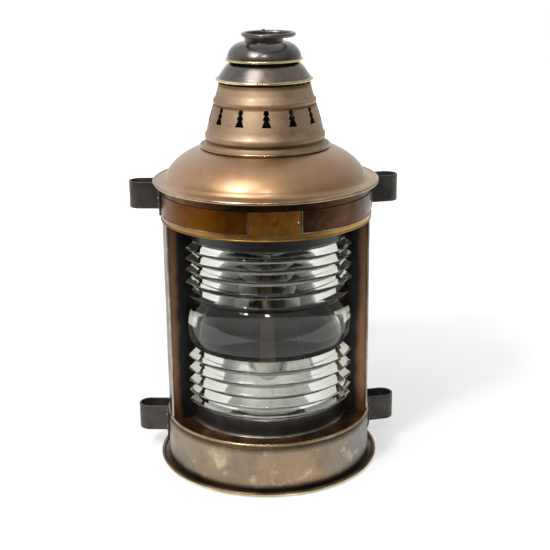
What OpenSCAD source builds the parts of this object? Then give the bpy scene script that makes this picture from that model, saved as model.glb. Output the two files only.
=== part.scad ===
// Ship's stern lantern: a spun copper hood and chimney over a curved casing with a 135 degree
// dioptric lens, four strap loops for guide rods, a rear lamp door and a lift-out oil lamp.
// Origin: centre of the foot ring on the ground plane. +Z up, the lens faces -Y.
// Azimuth is measured from the front (-Y) towards +X.

/* [Casing] */
// Outer radius of the casing sheet
casing_r = 120; // [118:0.5:122]
// Thickness of the casing sheet
sheet = 1.0; // [0.8:0.1:1.1]
// Half angle of the front opening
opening_half = 75; // [74:0.5:76]
// Height of the base drum's rolled top edge
drum_top = 60; // [59.5:0.5:61]
// Height of the lower edge of the top band
band_bottom = 296; // [295:0.5:297]
// Height of the top of the casing
casing_top = 338; // [337:0.5:338.5]

/* [Lens] */
// Angle that the glass spans
lens_angle = 135; // [130:1:136]
// Inside radius of the glass
lens_inner_r = 89; // [88.9:0.1:89.4]
// Radius of the rib tips
rib_tip_r = 103; // [101:0.5:104]
// Height of the foot of the glass
lens_bottom = 77.3; // [77:0.1:77.6]
// Height of the glass
lens_h = 201; // [199:0.5:201]

/* [Hood] */
// Outer radius of the hood's rim
hood_rim_r = 129.8; // [129:0.2:132]
// Radius where the dome meets the flat flange
dome_foot_r = 115; // [113:0.5:116]
// Height of the dome above its foot
dome_h = 38.5; // [37:0.5:39]

/* [Chimney] */
// Number of pierced trees around the chimney
tree_count = 13; // [10:1:15]
// Height of a pierced tree
tree_h = 18.5; // [16:0.5:19]
// Radius of the lower cowl's rim
cowl_lower_r = 54.7; // [54:0.1:56]
// Radius of the upper cowl's rim
cowl_upper_r = 43.6; // [43:0.1:45]
// Height of the flat top of the neck
neck_top = 501; // [500:0.5:501.5]

/* [Lifting ring] */
// Radius of the ring, to the middle of its wire
ring_r = 27.7; // [26:0.1:29]
// Radius of the ring's wire
ring_wire_r = 2.3; // [2:0.1:2.4]
// Angle that the resting ring lies askew
ring_yaw = 6.8; // [0:0.2:10]

/* [Guide loops] */
// Inside radius of the loops, for a guide rod
loop_inner_r = 11.5; // [9:0.1:12]
// Distance of the guide rod's axis from the lantern's axis
rod_axis_r = 144.8; // [143:0.2:148]
// Angle that the loops stand behind the middle of the sides
loop_turn = 8; // [6:0.5:9]
// Thickness of the strap
strap = 2.2; // [1.8:0.1:2.6]
// Height of the strap
strap_h = 31; // [28:0.5:32]

/* [Rear door] */
// Half angle of the door sheet
door_half = 28; // [27.5:0.5:29]
// Height of the door's lower edge
door_bottom = 76; // [74:1:80]
// Height of the door's upper edge
door_top = 272; // [268:1:276]

/* [Lamp] */
// Radius of the oil fount
fount_r = 36.5; // [34:0.5:36.6]
// Height of the fount's shoulder
fount_shoulder = 98; // [94:1:99]

/* [Hidden] */
$fn = 96;

// Assembly gap between parts that only touch, and radial clearance of a running fit
touch = 0.05;
running = 0.05;

// Foot and base
foot_web = 1.6;
foot_inner_r = 112;
foot_bead_r = 2.3;
foot_bead_z = 3.2;
foot_outer_r = casing_r + 11.3;
drum_inner_r = casing_r + 0.1;
drum_outer_r = drum_inner_r + 1.2;
drum_bead_r = 1.7;
crease_r = 0.6;
crease_z = drum_top - 4;
casing_inner_r = casing_r - sheet;
tray_top = drum_top - 3.8;
tray_t = 1.2;
shield_z = band_bottom + 0.2;
shield_t = 1.2;
shield_hole_r = 60;

// Lens
belt_half = 29;
belt_bulge = 8.5;
valley_r = rib_tip_r - 9;
rib_offsets = [37.3, 52.6, 67.0, 80.1, 91.8];
rib_count = len(rib_offsets);
lens_mid = lens_bottom + lens_h / 2;
lens_top = lens_bottom + lens_h;
lens_half = lens_angle / 2;

// Screens and lens frame
screen_azimuth = opening_half + 1.5;
screen_inner_r = 88;
collar_half = opening_half + 0.4;
collar_inner_r = 87;
collar_t = 5;
collar_foot_w = 3;
post_inner_r = 84.5;
post_t = 4.3;
post_width_angle = 10;

// Top band
band_inner_r = casing_r + 0.1;
band_outer_r = casing_r + 1.0;
band_lip_r = 0.8;
plate_t = 1.1;
plate_bottom = band_bottom + 7.5;
plate_top = casing_top - 9.5;
plate_gap_half = 13.6;
plate_end = opening_half + 1;

// Hood
hood_t = 1.0;
rim_bead_r = 1.9;
rim_z = casing_top + 1.2;
dome_centre_r = 56;
dome_droop = 1.2;
dome_foot_z = rim_z + 2.8;
dome_top_z = dome_foot_z + dome_h;
hood_lip_r = 54;
skirt_r = casing_inner_r - 0.2;
skirt_depth = 12;

// Chimney and cowls
chimney_foot_z = dome_top_z - 2.7;
chimney_t = 1.0;
foot_flare_r = 74.8;
flare_bead_r = 1.5;
chimney_top_z = 449.5;
tree_foot_z = 407.5;
tree_foot_w = 10.4;
tree_azimuth = -3;
flue_r = 37;
flue_top_z = 436;
cowl_t = 1.0;
cowl_bead_r = 1.5;
cowl_lower_z = 453.2;
cowl_upper_z = 474.8;
neck_r = 21.6;
neck_z = 494.2;
neck_t = 1.0;

// Lifting ring and its eye
ring_gap = 0.3;
ring_z = neck_top + ring_gap + ring_wire_r;
eye_y = 6;
eye_t = 0.9;
eye_w = 3;
eye_bore_r = ring_wire_r + 0.3;

// Guide loops
loop_seat_gap = 0.1;
upper_loop_z = 306;
lower_loop_z = 28;
flange_reach = 15;
flange_drop = 7;
rivet_head_r = 2.9;
rivet_head_h = 1.5;

// Door
door_gap = 0.3;
door_inner_r = casing_r + door_gap;
door_outer_r = door_inner_r + 1;
door_overlap = 2;
door_lap = 4;
lining_gap = 0.5;
hinge_azimuth = 180 - door_half - 1.6;
hinge_r = 124.6;
knuckle_r = 3.2;
pin_r = 1.6;
hinge_half = 18;
knuckle_half = 6;
knuckle_gap = 0.2;
hinge_heights = [112, 236];
leaf_t = 1.3;
catch_azimuth = 180 + door_half + 5;
door_mid = (door_bottom + door_top) / 2;
catch_base_r = casing_r + 2.1;
catch_t = 2;
catch_w = 9;
catch_reach = 18;
catch_pivot_r = 1.5;
knob_azimuth = 180 + door_half - 8;

// Lamp
fount_bottom = tray_top + 0.3;
fount_t = 1;
fount_top = fount_shoulder + 14;
fount_neck_r = 13.5;
seat_r = fount_r + 0.7;
seat_t = 2;
seat_h = 7;
filler_x = -24;
filler_neck_r = 6;
filler_neck_top = fount_top + 4.5;
cap_r = 7.2;
burner_z = fount_top + 0.1;
burner_top = burner_z + 12;
wick_tube_w = 17;
wick_tube_d = 3.4;
wick_tube_top = burner_top + 36;
wick_tube_t = 0.8;
wick_w = 15;
wick_d = 1.4;
spindle_y = 4.2;
spindle_z = burner_z + 5.5;
spindle_r = 1.2;
wheel_r = 2.3;
knob_x = 36;

far = 220;
eps = 0.01;

function reversed(v) = [for (i = [len(v) - 1 : -1 : 0]) v[i]];
function unit(v) = v / norm(v);
function tangent(path, i) = unit(path[min(i + 1, len(path) - 1)] - path[max(i - 1, 0)]);
// The path moved sideways by t, towards the axis for a path that climbs inwards
function inset(path, t) =
    [for (i = [0 : len(path) - 1]) let (d = tangent(path, i)) path[i] + t * [-d[1], d[0]]];
// Points of an elliptical arc
function arc(centre, radii, from, to, steps) =
    [for (i = [0 : steps]) let (a = from + (to - from) * i / steps)
        centre + [radii[0] * cos(a), radii[1] * sin(a)]];
function polar(r, a) = [r * cos(a), r * sin(a)];

// Turns +X to the given azimuth
module at_azimuth(a) {
    rotate([0, 0, a - 90]) children();
}

module ring(r0, r1, z0, z1) {
    rotate_extrude() translate([r0, z0]) square([r1 - r0, z1 - z0]);
}

// A stretch of ring between two azimuths
module arc_ring(r0, r1, z0, z1, a0, a1) {
    at_azimuth(a0) rotate_extrude(angle = a1 - a0) translate([r0, z0]) square([r1 - r0, z1 - z0]);
}

// A stretch of round wire between two azimuths
module arc_wire(r, z, wire_r, a0, a1) {
    at_azimuth(a0) rotate_extrude(angle = a1 - a0) translate([r, z]) circle(r = wire_r);
}

// A tall wedge between two azimuths, for cutting openings
module wedge(a0, a1, z0, z1) {
    steps = 4;
    fan = [for (i = [0 : steps]) polar(far, a0 - 90 + (a1 - a0) * i / steps)];
    translate([0, 0, z0]) linear_extrude(z1 - z0) polygon(concat([[0, 0]], fan));
}

// A spun sheet of thickness t whose outer outline is the path
module spun(path, t) {
    rotate_extrude() polygon(concat(path, reversed(inset(path, t))));
}

// A domed rivet head that stands on the plane x = 0 and points along +X
module rivet_head(r, h) {
    rotate([0, 90, 0]) rotate_extrude() polygon(concat([[0, 0]], arc([0, 0], [r, h], 0, 90, 6)));
}

// ---- Base ----

module foot_ring() {
    color("darkgoldenrod") rotate_extrude() {
        translate([foot_inner_r, 0]) square([foot_outer_r - foot_bead_r - foot_inner_r, foot_web]);
        translate([foot_outer_r - foot_bead_r, foot_bead_z]) circle(r = foot_bead_r);
    }
}

module base_plate() {
    color("saddlebrown") translate([0, 0, foot_web]) cylinder(r = casing_inner_r - 0.2, h = 1.2);
}

module base_drum() {
    color("peru") {
        ring(drum_inner_r, drum_outer_r, foot_web, drum_top);
        arc_wire(drum_outer_r - 0.1, crease_z, crease_r, -opening_half, opening_half);
        arc_wire(drum_outer_r - 0.3, drum_top, drum_bead_r, -opening_half, opening_half);
    }
}

// The floor reaches out to the drum where the casing is open
module tray_floor() {
    front = opening_half - 1;
    color("dimgray") {
        translate([0, 0, tray_top - tray_t]) cylinder(r = casing_inner_r - 0.2, h = tray_t);
        arc_ring(casing_inner_r - 1, drum_inner_r - 0.1, tray_top - tray_t, tray_top, -front, front);
    }
}

// ---- Casing ----

module casing_shell() {
    cut = door_half - door_overlap;
    color("sienna") difference() {
        ring(casing_inner_r, casing_r, foot_web, casing_top);
        wedge(-opening_half, opening_half, foot_web - 1, shield_z + shield_t);
        wedge(180 - cut, 180 + cut, door_bottom + door_lap, door_top - door_lap);
    }
}

module edge_bead(side) {
    bead_r = 1.5;
    z0 = drum_top + drum_bead_r + 0.3;
    bead_azimuth = opening_half - asin(bead_r / casing_r) - 0.03;
    color("tan") at_azimuth(side * bead_azimuth) translate([casing_r - 0.6, 0, z0])
        cylinder(r = bead_r, h = band_bottom - 0.2 - z0);
}

module edge_bead_left() { edge_bead(-1); }
module edge_bead_right() { edge_bead(1); }

// The sheet between the casing's front edge and the end of the glass
module screen(side) {
    color("maroon") at_azimuth(side * screen_azimuth)
        translate([screen_inner_r, -sheet / 2, tray_top + touch])
        cube([casing_inner_r - 0.3 - screen_inner_r, sheet, shield_z - tray_top - 2 * touch]);
}

module screen_left() { screen(-1); }
module screen_right() { screen(1); }

module top_shield() {
    color("dimgray") ring(shield_hole_r, casing_inner_r - 0.2, shield_z, shield_z + shield_t);
}

module top_band() {
    color("darkgoldenrod") rotate_extrude() {
        translate([band_inner_r, band_bottom])
            square([band_outer_r - band_inner_r, casing_top - band_bottom]);
        translate([band_outer_r + 0.05, band_bottom + 1.1]) circle(r = band_lip_r);
    }
}

module band_plate(from, to) {
    color("chocolate")
        arc_ring(band_outer_r + touch, band_outer_r + plate_t, plate_bottom, plate_top, from, to);
}

module band_plate_left() { band_plate(-plate_end, -plate_gap_half); }
module band_plate_right() { band_plate(plate_gap_half, plate_end); }

// One rivet at each end of the band, and the one left in the gap where a name plate was
module band_rivets() {
    color("gray") {
        for (side = [-1, 1])
            at_azimuth(side * (plate_end + 1.2)) translate([band_outer_r + touch, 0, band_bottom + 6])
                rivet_head(2, 1);
        at_azimuth(plate_gap_half - 1.6) translate([band_outer_r + touch, 0, band_bottom + 20])
            rivet_head(1.1, 0.8);
    }
}

// ---- Lens ----

// Half of the outer outline, as [radius, offset from the middle] from the belt outwards
belt_arc_r = (belt_half * belt_half + belt_bulge * belt_bulge) / (2 * belt_bulge);
belt_sweep = asin(belt_half / belt_arc_r);
belt_crown_r = valley_r - 0.5 + belt_bulge;
belt_outline = arc([belt_crown_r - belt_arc_r, 0], [belt_arc_r, belt_arc_r], 0, belt_sweep, 7);
function rib_valley(i) = i + 1 < rib_count ? (rib_offsets[i] + rib_offsets[i + 1]) / 2 : lens_h / 2 - 2.5;
rib_outline = [for (i = [0 : rib_count - 1]) for (p = [
    [rib_tip_r - 0.5, rib_offsets[i] - 0.9],
    [rib_tip_r, rib_offsets[i]],
    [rib_tip_r - 0.5, rib_offsets[i] + 0.9],
    [valley_r, rib_valley(i)]]) p];
half_outline = concat(belt_outline, rib_outline, [[valley_r, lens_h / 2]]);

module lens() {
    outer = concat(
        reversed([for (p = half_outline) [p[0], -p[1]]]),
        [for (i = [1 : len(half_outline) - 1]) half_outline[i]]);
    inner = [[lens_inner_r, lens_h / 2], [lens_inner_r, -lens_h / 2]];
    color("honeydew") translate([0, 0, lens_mid]) at_azimuth(-lens_half)
        rotate_extrude(angle = lens_angle) polygon(concat(outer, inner));
}

// The black ring that carries the glass, with a thin foot on the tray
module lens_collar() {
    color("black") at_azimuth(-collar_half) rotate_extrude(angle = 2 * collar_half) {
        translate([collar_inner_r, tray_top + touch])
            square([collar_t, lens_bottom - tray_top - 2 * touch]);
        translate([collar_inner_r, tray_top + touch]) square([collar_t + collar_foot_w, 1.2]);
    }
}

module lens_top_ring() {
    outer_r = collar_inner_r + collar_t + 2;
    color("black")
        arc_ring(collar_inner_r, outer_r, lens_top + touch, shield_z - touch, -collar_half, collar_half);
}

module lens_post(from) {
    color("black") arc_ring(post_inner_r, post_inner_r + post_t, tray_top + touch, shield_z - touch,
        from, from + post_width_angle);
}

// The posts stand inside the glass and clear of the collar rings
module lens_post_left() {
    color("black") difference() {
        lens_post(-lens_half - post_width_angle / 2);
        collar_clearance();
    }
}

module lens_post_right() {
    color("black") difference() {
        lens_post(lens_half - post_width_angle / 2);
        collar_clearance();
    }
}

module collar_clearance() {
    ring(collar_inner_r - 0.1, far, 0, lens_bottom);
    ring(collar_inner_r - 0.1, far, lens_top, casing_top);
}

// ---- Guide loops ----

// The outward-bent end of the strap, riveted to the curved wall and pointed at its foot
module loop_flange(seat, y_sign) {
    y0 = loop_inner_r;
    y1 = loop_inner_r + strap + flange_reach;
    leaf = [[y0, 0], [y0, strap_h], [y1 - 4, strap_h], [y1, strap_h - 4], [y1, 5],
        [y0 + 7, -flange_drop], [y0 + 2, -flange_drop]];
    intersection() {
        ring(seat, seat + strap, -flange_drop - 1, strap_h + 1);
        rotate([90, 0, 90]) linear_extrude(far) polygon([for (p = leaf) [p[0] * y_sign, p[1]]]);
    }
}

// A U of strap around a guide rod on +X, with its two riveted ends
module guide_loop(seat) {
    color([0.16, 0.14, 0.13]) {
        translate([rod_axis_r, 0, 0]) rotate([0, 0, -90]) rotate_extrude(angle = 180)
            translate([loop_inner_r, 0]) square([strap, strap_h]);
        for (y_sign = [-1, 1]) {
            y0 = y_sign > 0 ? loop_inner_r : -loop_inner_r - strap;
            translate([seat, y0, 0]) cube([rod_axis_r - seat, strap, strap_h]);
            loop_flange(seat, y_sign);
        }
    }
}

upper_seat = band_outer_r + loop_seat_gap;
lower_seat = drum_outer_r + loop_seat_gap;

module guide_loop_upper_left() {
    rotate([0, 0, 180 - loop_turn]) translate([0, 0, upper_loop_z]) guide_loop(upper_seat);
}

module guide_loop_upper_right() {
    rotate([0, 0, loop_turn]) translate([0, 0, upper_loop_z]) guide_loop(upper_seat);
}

module guide_loop_lower_left() {
    rotate([0, 0, 180 - loop_turn]) translate([0, 0, lower_loop_z]) guide_loop(lower_seat);
}

module guide_loop_lower_right() {
    rotate([0, 0, loop_turn]) translate([0, 0, lower_loop_z]) guide_loop(lower_seat);
}

// Two rivets in each flange of each loop
module loop_rivets() {
    color("dimgray") for (row = [[upper_seat, upper_loop_z], [lower_seat, lower_loop_z]])
        for (turn = [loop_turn, 180 - loop_turn])
            for (y = [-1, 1])
                for (h = [0.25, 0.75]) {
                    face = row[0] + strap;
                    out = asin((loop_inner_r + strap + flange_reach / 2) / face);
                    rotate([0, 0, turn + y * out]) translate([face + 2 * eps, 0, row[1] + h * strap_h])
                        rivet_head(rivet_head_r, rivet_head_h);
                }
}

// ---- Hood, chimney and cowls ----

// The dome is an ellipse with drooping shoulders; a droop of 1 leaves a plain ellipse
module hood() {
    dome = [for (a = [0 : 7.5 : 90])
        [dome_centre_r + (dome_foot_r - dome_centre_r) * pow(cos(a), dome_droop),
            dome_foot_z + dome_h * pow(sin(a), dome_droop)]];
    path = concat([[hood_rim_r - rim_bead_r, rim_z + 1]], dome, [[hood_lip_r, dome_top_z]]);
    color("peru") {
        spun(path, hood_t);
        rotate_extrude() translate([hood_rim_r - rim_bead_r, rim_z]) circle(r = rim_bead_r);
        ring(skirt_r - hood_t, skirt_r, rim_z - skirt_depth, dome_foot_z - 1);
    }
}

// Outer outline of the chimney from its flared foot up through two swaged beads
chimney_outline = concat(
    [[foot_flare_r - flare_bead_r, chimney_foot_z + 1.4], [71.2, chimney_foot_z + 2.2],
        [68.9, chimney_foot_z + 3.8], [67.2, chimney_foot_z + 6.2]],
    arc([67.2, 390.6], [1.2, 3.8], -60, 60, 6),
    [[66.1, 396], [65.2, 401], [60.9, 417], [58.1, 426]],
    arc([57.2, 429.6], [1.0, 2.8], -60, 60, 6),
    [[55.9, 433.6], [53.7, 440.4], [51.6, chimney_top_z]]);

// A cutter for one pierced tree, across the wall on +X: round top, round middle and a splayed foot
module tree_cut() {
    waist = tree_h * 0.42;
    reach = 25;
    translate([foot_flare_r - reach, 0, tree_foot_z]) rotate([90, 0, 90]) linear_extrude(reach) {
        polygon([
            [-tree_foot_w / 2, 0], [tree_foot_w / 2, 0],
            [tree_foot_w / 4, waist], [-tree_foot_w / 4, waist]]);
        translate([0, tree_h * 0.52]) circle(r = tree_foot_w * 0.37);
        translate([0, tree_h * 0.83]) circle(r = tree_h * 0.17);
    }
}

module chimney() {
    color("peru") difference() {
        union() {
            spun(chimney_outline, chimney_t);
            rotate_extrude() translate([foot_flare_r - flare_bead_r, chimney_foot_z + flare_bead_r])
                circle(r = flare_bead_r);
        }
        for (i = [0 : tree_count - 1]) at_azimuth(tree_azimuth + i * 360 / tree_count) tree_cut();
    }
}

module inner_flue() {
    color("dimgray") rotate_extrude() {
        translate([flue_r - 1, dome_top_z - 3]) square([1, flue_top_z - dome_top_z + 3]);
        translate([flue_r - 1, dome_top_z - hood_t - 1.1]) square([hood_lip_r + 1 - flue_r, 1]);
    }
}

// A cowl: rolled rim and a dome that climbs to an open or covered crown
module cowl(rim_r, rim_z, path) {
    spun(path, cowl_t);
    rotate_extrude() translate([rim_r - cowl_bead_r, rim_z]) circle(r = cowl_bead_r);
}

module cowl_lower() {
    flank = [[52, 2], [50.6, 4.2], [46.9, 9.6], [43.4, 14.4], [40, 17.4], [35, 19.8]];
    path = concat([[cowl_lower_r - cowl_bead_r, cowl_lower_z + 0.8]],
        [for (p = flank) [p[0], cowl_lower_z + p[1]]]);
    color([0.32, 0.3, 0.29]) cowl(cowl_lower_r, cowl_lower_z, path);
}

module cowl_upper() {
    path = concat([[cowl_upper_r - cowl_bead_r, cowl_upper_z + 0.6]],
        arc([21, cowl_upper_z + 1.2], [20.4, 18.2], 0, 90, 9), [[17, cowl_upper_z + 19.4]]);
    color([0.32, 0.3, 0.29]) cowl(cowl_upper_r, cowl_upper_z, path);
}

// Three strips hold the lower cowl over the chimney, and three more hold the upper cowl over the lower one
module cowl_stays() {
    stay_t = 1.6;
    lower = [[50.3, 440], [50.3, 449], [49.6, 456.6], [45.9, 462.1], [43.5, 462.1], [46.5, 440]];
    upper = [[34.2, 473.7], [37, 472.2], [37, 485.5], [34.2, 488.4]];
    color("dimgray") for (a = [60, 180, 300]) at_azimuth(a) {
        rotate([90, 0, 0]) translate([0, 0, -stay_t / 2]) linear_extrude(stay_t) polygon(lower);
        rotate([90, 0, 0]) translate([0, 0, -stay_t / 2]) linear_extrude(stay_t) polygon(upper);
    }
}

module neck() {
    soften = 1.5;
    color([0.32, 0.3, 0.29]) rotate_extrude() polygon([
        [0, neck_top], [neck_r - soften, neck_top], [neck_r, neck_top - soften], [neck_r, neck_z],
        [neck_r - neck_t, neck_z], [neck_r - neck_t, neck_top - soften - 0.5],
        [neck_r - soften - 0.5, neck_top - neck_t], [0, neck_top - neck_t]]);
}

// A small strap bent over the ring's wire, square to the wire as it lies at rest
module ring_eye() {
    color("darkgoldenrod") translate([0, eye_y, 0]) rotate([0, 0, ring_yaw]) {
        translate([0, 0, ring_z]) rotate([90, 0, 90]) rotate_extrude(angle = 180)
            translate([eye_bore_r, -eye_w / 2]) square([eye_t, eye_w]);
        for (y = [-eye_bore_r - eye_t, eye_bore_r])
            translate([-eye_w / 2, y, neck_top + eps]) cube([eye_w, eye_t, ring_z - neck_top - eps]);
    }
}

module lifting_ring() {
    color([0.3, 0.29, 0.28])
        translate([ring_r * sin(ring_yaw), eye_y - ring_r * cos(ring_yaw), ring_z])
        rotate_extrude() translate([ring_r, 0]) circle(r = ring_wire_r);
}

// ---- Rear door ----

module door() {
    color("sienna")
        arc_ring(door_inner_r, door_outer_r, door_bottom, door_top, 180 - door_half, 180 + door_half);
}

// The sheet inside the door that fills the opening
module door_lining() {
    half = door_half - door_overlap - lining_gap;
    color("black") arc_ring(casing_inner_r + 0.2, door_inner_r - touch, door_bottom + door_lap + lining_gap,
        door_top - door_lap - lining_gap, 180 - half, 180 + half);
}

// A stretch of hinge barrel at the hinge line
module knuckle(z0, z1) {
    at_azimuth(hinge_azimuth) translate([hinge_r, 0, z0]) cylinder(r = knuckle_r, h = z1 - z0);
}

module hinge_bores() {
    at_azimuth(hinge_azimuth) translate([hinge_r, 0, door_bottom])
        cylinder(r = pin_r + running, h = door_top - door_bottom);
}

// The leaf meets its knuckle beside the hinge line, because the two are nearly tangent on it
module door_hinge_leaves() {
    r0 = door_outer_r + touch;
    r1 = r0 + leaf_t;
    color("darkgoldenrod") difference() {
        for (z = hinge_heights) {
            arc_ring(r0, r1, z - hinge_half, z + hinge_half, hinge_azimuth + 3, hinge_azimuth + 10);
            arc_ring(r0, r1, z - knuckle_half, z + knuckle_half, hinge_azimuth + 0.5, hinge_azimuth + 3.5);
            knuckle(z - knuckle_half, z + knuckle_half);
        }
        hinge_bores();
    }
}

module casing_hinge_leaves() {
    r0 = casing_r + touch;
    r1 = r0 + leaf_t;
    link_r = r1 + 1.2;
    color("darkgoldenrod") difference() {
        for (z = hinge_heights) {
            arc_ring(r0, r1, z - hinge_half, z + hinge_half, hinge_azimuth - 9, hinge_azimuth - 2.2);
            for (side = [-1, 1]) {
                z0 = side > 0 ? z + knuckle_half + knuckle_gap : z - hinge_half;
                z1 = side > 0 ? z + hinge_half : z - knuckle_half - knuckle_gap;
                arc_ring(r0, link_r, z0, z1, hinge_azimuth - 2.6, hinge_azimuth);
                knuckle(z0, z1);
            }
        }
        hinge_bores();
    }
}

module hinge_pins() {
    overrun = 0.8;
    color("gray") at_azimuth(hinge_azimuth) for (z = hinge_heights) translate([hinge_r, 0, 0]) {
        translate([0, 0, z - hinge_half - overrun]) cylinder(r = pin_r, h = 2 * hinge_half + 2 * overrun);
        translate([0, 0, z + hinge_half + 0.1]) cylinder(r = 2.6, h = 1.6);
    }
}

module door_knob() {
    base = door_outer_r + touch;
    outline = concat([[0, 0], [4.6, 0], [4.6, 1.2], [2.2, 2.2]], arc([0, 7], [4.2, 3.6], -50, 90, 10));
    color("darkgoldenrod") at_azimuth(knob_azimuth) translate([base, 0, door_mid])
        rotate([0, 90, 0]) rotate_extrude() polygon(outline);
}

// The turn button lies along +Z when open and swings over the door's edge when closed
module door_catch() {
    color("darkgoldenrod") at_azimuth(catch_azimuth) translate([catch_base_r, 0, door_mid])
        rotate([0, 90, 0]) difference() {
            union() {
                cylinder(r = catch_w / 2, h = catch_t);
                translate([-catch_reach, -catch_w / 2 + 1.5, 0]) cube([catch_reach, catch_w - 3, catch_t]);
                translate([-catch_reach, 0, 0]) cylinder(r = catch_w / 2 - 1.2, h = catch_t);
            }
            translate([0, 0, -1]) cylinder(r = catch_pivot_r + running, h = catch_t + 2);
        }
}

module catch_screw() {
    base = casing_r + touch;
    boss_h = catch_base_r - base - 0.1;
    color("gray") at_azimuth(catch_azimuth) translate([base, 0, door_mid]) rotate([0, 90, 0]) {
        cylinder(r = 4, h = boss_h);
        cylinder(r = catch_pivot_r, h = boss_h + catch_t + 1);
        translate([0, 0, boss_h + catch_t + 0.2]) cylinder(r = 3.3, h = 1.4);
    }
}

// ---- Lamp ----

module lamp_seat() {
    color("dimgray") ring(seat_r, seat_r + seat_t, tray_top + touch, tray_top + seat_h);
}

// A hollow oil vessel with a domed shoulder, a burner neck and a filler neck
module lamp_fount() {
    shoulder_size = [fount_r - fount_neck_r, fount_top - fount_shoulder];
    shoulder = arc([fount_neck_r, fount_shoulder], shoulder_size, 0, 90, 7);
    inner_shoulder = inset(shoulder, fount_t);
    chamfer = 2;
    color("darkgoldenrod") difference() {
        union() {
            rotate_extrude() polygon(concat(
                [[0, fount_bottom], [fount_r - chamfer, fount_bottom], [fount_r, fount_bottom + chamfer]],
                shoulder, [[0, fount_top]]));
            translate([filler_x, 0, fount_shoulder + 2])
                cylinder(r = filler_neck_r, h = filler_neck_top - fount_shoulder - 2);
        }
        rotate_extrude() polygon(concat(
            [[0, fount_bottom + fount_t], [fount_r - chamfer - 0.4, fount_bottom + fount_t],
                [fount_r - fount_t, fount_bottom + chamfer + 0.4]],
            inner_shoulder, [[0, fount_top - fount_t]]));
        translate([0, 0, fount_shoulder]) cylinder(r = fount_neck_r - 3, h = far);
        translate([filler_x, 0, fount_bottom + 5]) cylinder(r = filler_neck_r - 1, h = far);
    }
}

// A wire grip on the back of the fount
module lamp_handle() {
    grip_r = 13;
    color("darkgoldenrod") translate([0, fount_r + touch, (fount_bottom + fount_shoulder) / 2 + 4])
        rotate([0, 90, 0]) rotate_extrude(angle = 180) translate([grip_r, 0]) circle(r = 1.7);
}

module filler_cap() {
    skirt_z = filler_neck_top - 4;
    cap_top = filler_neck_top + 2.4;
    color("goldenrod") translate([filler_x, 0, 0]) difference() {
        union() {
            translate([0, 0, skirt_z]) cylinder(r = cap_r, h = cap_top - skirt_z, $fn = 12);
            translate([0, 0, cap_top - 1]) cylinder(r = cap_r - 2, h = 2);
        }
        translate([0, 0, skirt_z - 1])
            cylinder(r = filler_neck_r + running, h = filler_neck_top - skirt_z + 1.2);
    }
}

// A hollow burner dome with a slot for the wick tube and a hole for the spindle
module burner() {
    path = [[13.2, burner_z], [13.2, burner_z + 7], [11.4, burner_z + 10], [8, burner_top], [1, burner_top]];
    gallery = [[13, burner_z + 7], [17.3, burner_z + 8.5], [17.3, burner_z + 9.5], [13, burner_z + 8.2]];
    color("goldenrod") difference() {
        union() {
            rotate_extrude() polygon(concat(path, reversed(inset(path, 1))));
            rotate_extrude() polygon(gallery);
        }
        translate([-wick_tube_w / 2 - touch, -wick_tube_d / 2 - touch, burner_z + 8])
            cube([wick_tube_w + 2 * touch, wick_tube_d + 2 * touch, 10]);
        translate([0, spindle_y, spindle_z]) rotate([0, 90, 0]) cylinder(r = spindle_r + running, h = 20);
    }
}

module wick_tube() {
    clear = wick_tube_t;
    color("goldenrod") difference() {
        translate([-wick_tube_w / 2, -wick_tube_d / 2, burner_z + 1])
            cube([wick_tube_w, wick_tube_d, wick_tube_top - burner_z - 1]);
        translate([-wick_tube_w / 2 + clear, -wick_tube_d / 2 + clear, burner_z - 1])
            cube([wick_tube_w - 2 * clear, wick_tube_d - 2 * clear, wick_tube_top - burner_z + 4]);
    }
}

module wick() {
    color("ivory") translate([-wick_w / 2, -wick_d / 2, fount_bottom + 14])
        cube([wick_w, wick_d, wick_tube_top + 4 - fount_bottom - 14]);
}

// The spindle with its toothed wheel beside the wick tube
module wick_spindle() {
    teeth = 12;
    color("gray") translate([0, spindle_y, spindle_z]) rotate([0, 90, 0]) {
        translate([0, 0, -4]) cylinder(r = spindle_r, h = knob_x + 6);
        translate([0, 0, -2]) cylinder(r = wheel_r, h = 4, $fn = teeth);
    }
}

module wick_knob() {
    color("goldenrod") translate([knob_x, spindle_y, spindle_z]) rotate([0, 90, 0]) difference() {
        union() {
            cylinder(r = 7, h = 3, $fn = 12);
            translate([0, 0, 2.5]) cylinder(r = 3.5, h = 2);
        }
        translate([0, 0, -1]) cylinder(r = spindle_r + running, h = 3.1);
    }
}

foot_ring();
base_plate();
base_drum();
casing_shell();
edge_bead_left();
edge_bead_right();
screen_left();
screen_right();
tray_floor();
lens_collar();
lens();
lens_top_ring();
lens_post_left();
lens_post_right();
top_shield();
top_band();
band_plate_left();
band_plate_right();
band_rivets();
guide_loop_upper_left();
guide_loop_upper_right();
guide_loop_lower_left();
guide_loop_lower_right();
loop_rivets();
hood();
chimney();
inner_flue();
cowl_lower();
cowl_upper();
cowl_stays();
neck();
ring_eye();
lifting_ring();
door();
door_lining();
door_hinge_leaves();
casing_hinge_leaves();
hinge_pins();
door_knob();
door_catch();
catch_screw();
lamp_seat();
lamp_fount();
lamp_handle();
filler_cap();
burner();
wick_tube();
wick();
wick_spindle();
wick_knob();
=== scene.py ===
import math

import bmesh
import bpy
from mathutils import Matrix, Vector, noise


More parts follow.
